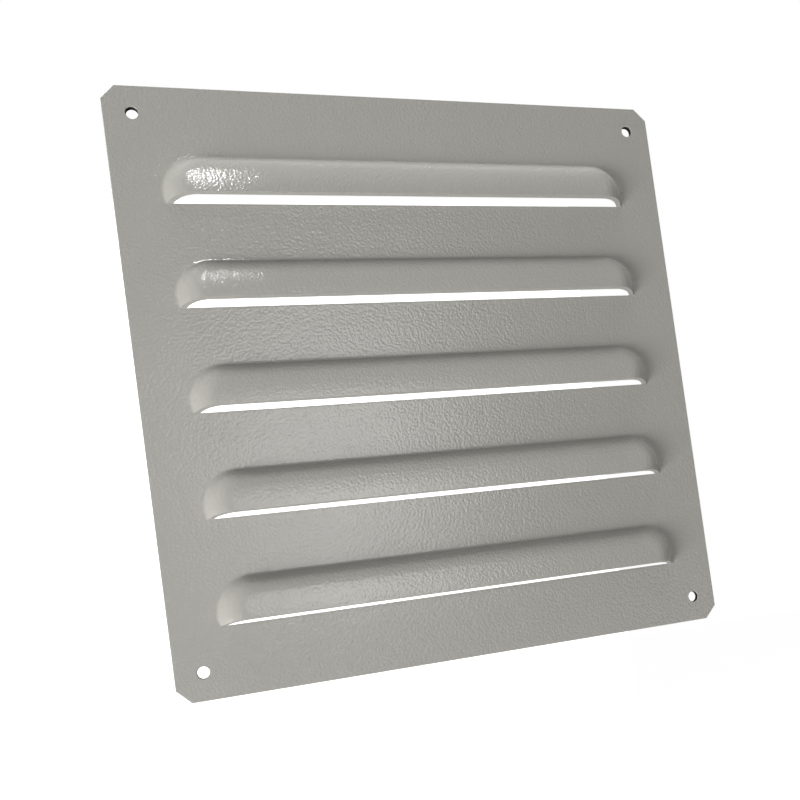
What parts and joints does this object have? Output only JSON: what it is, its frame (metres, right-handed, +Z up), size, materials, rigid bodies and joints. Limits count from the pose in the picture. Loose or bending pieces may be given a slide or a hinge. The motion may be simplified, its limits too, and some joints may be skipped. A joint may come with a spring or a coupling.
{
  "type": "ventilation grille",
  "caption": "Square sheet-steel ventilation grille with rows of pressed louvres that open downwards and a screw hole in each corner, fixed over a cut-out in an enclosure.",
  "frame": {"origin": "centre of the back face, which lies against the enclosure, midway between the screw holes", "axes": "+X to the right and +Z up as seen from the front, +Y through the plate towards the enclosure, so the louvres bulge towards -Y"},
  "size_m": [0.22, 0.0075, 0.22],
  "materials": {
    "powder_coat": "light grey powder coat with an orange-peel texture, semi-gloss"
  },
  "bodies": {
    "root": {"louvred_plate": "powder_coat"}
  },
  "joints": []
}
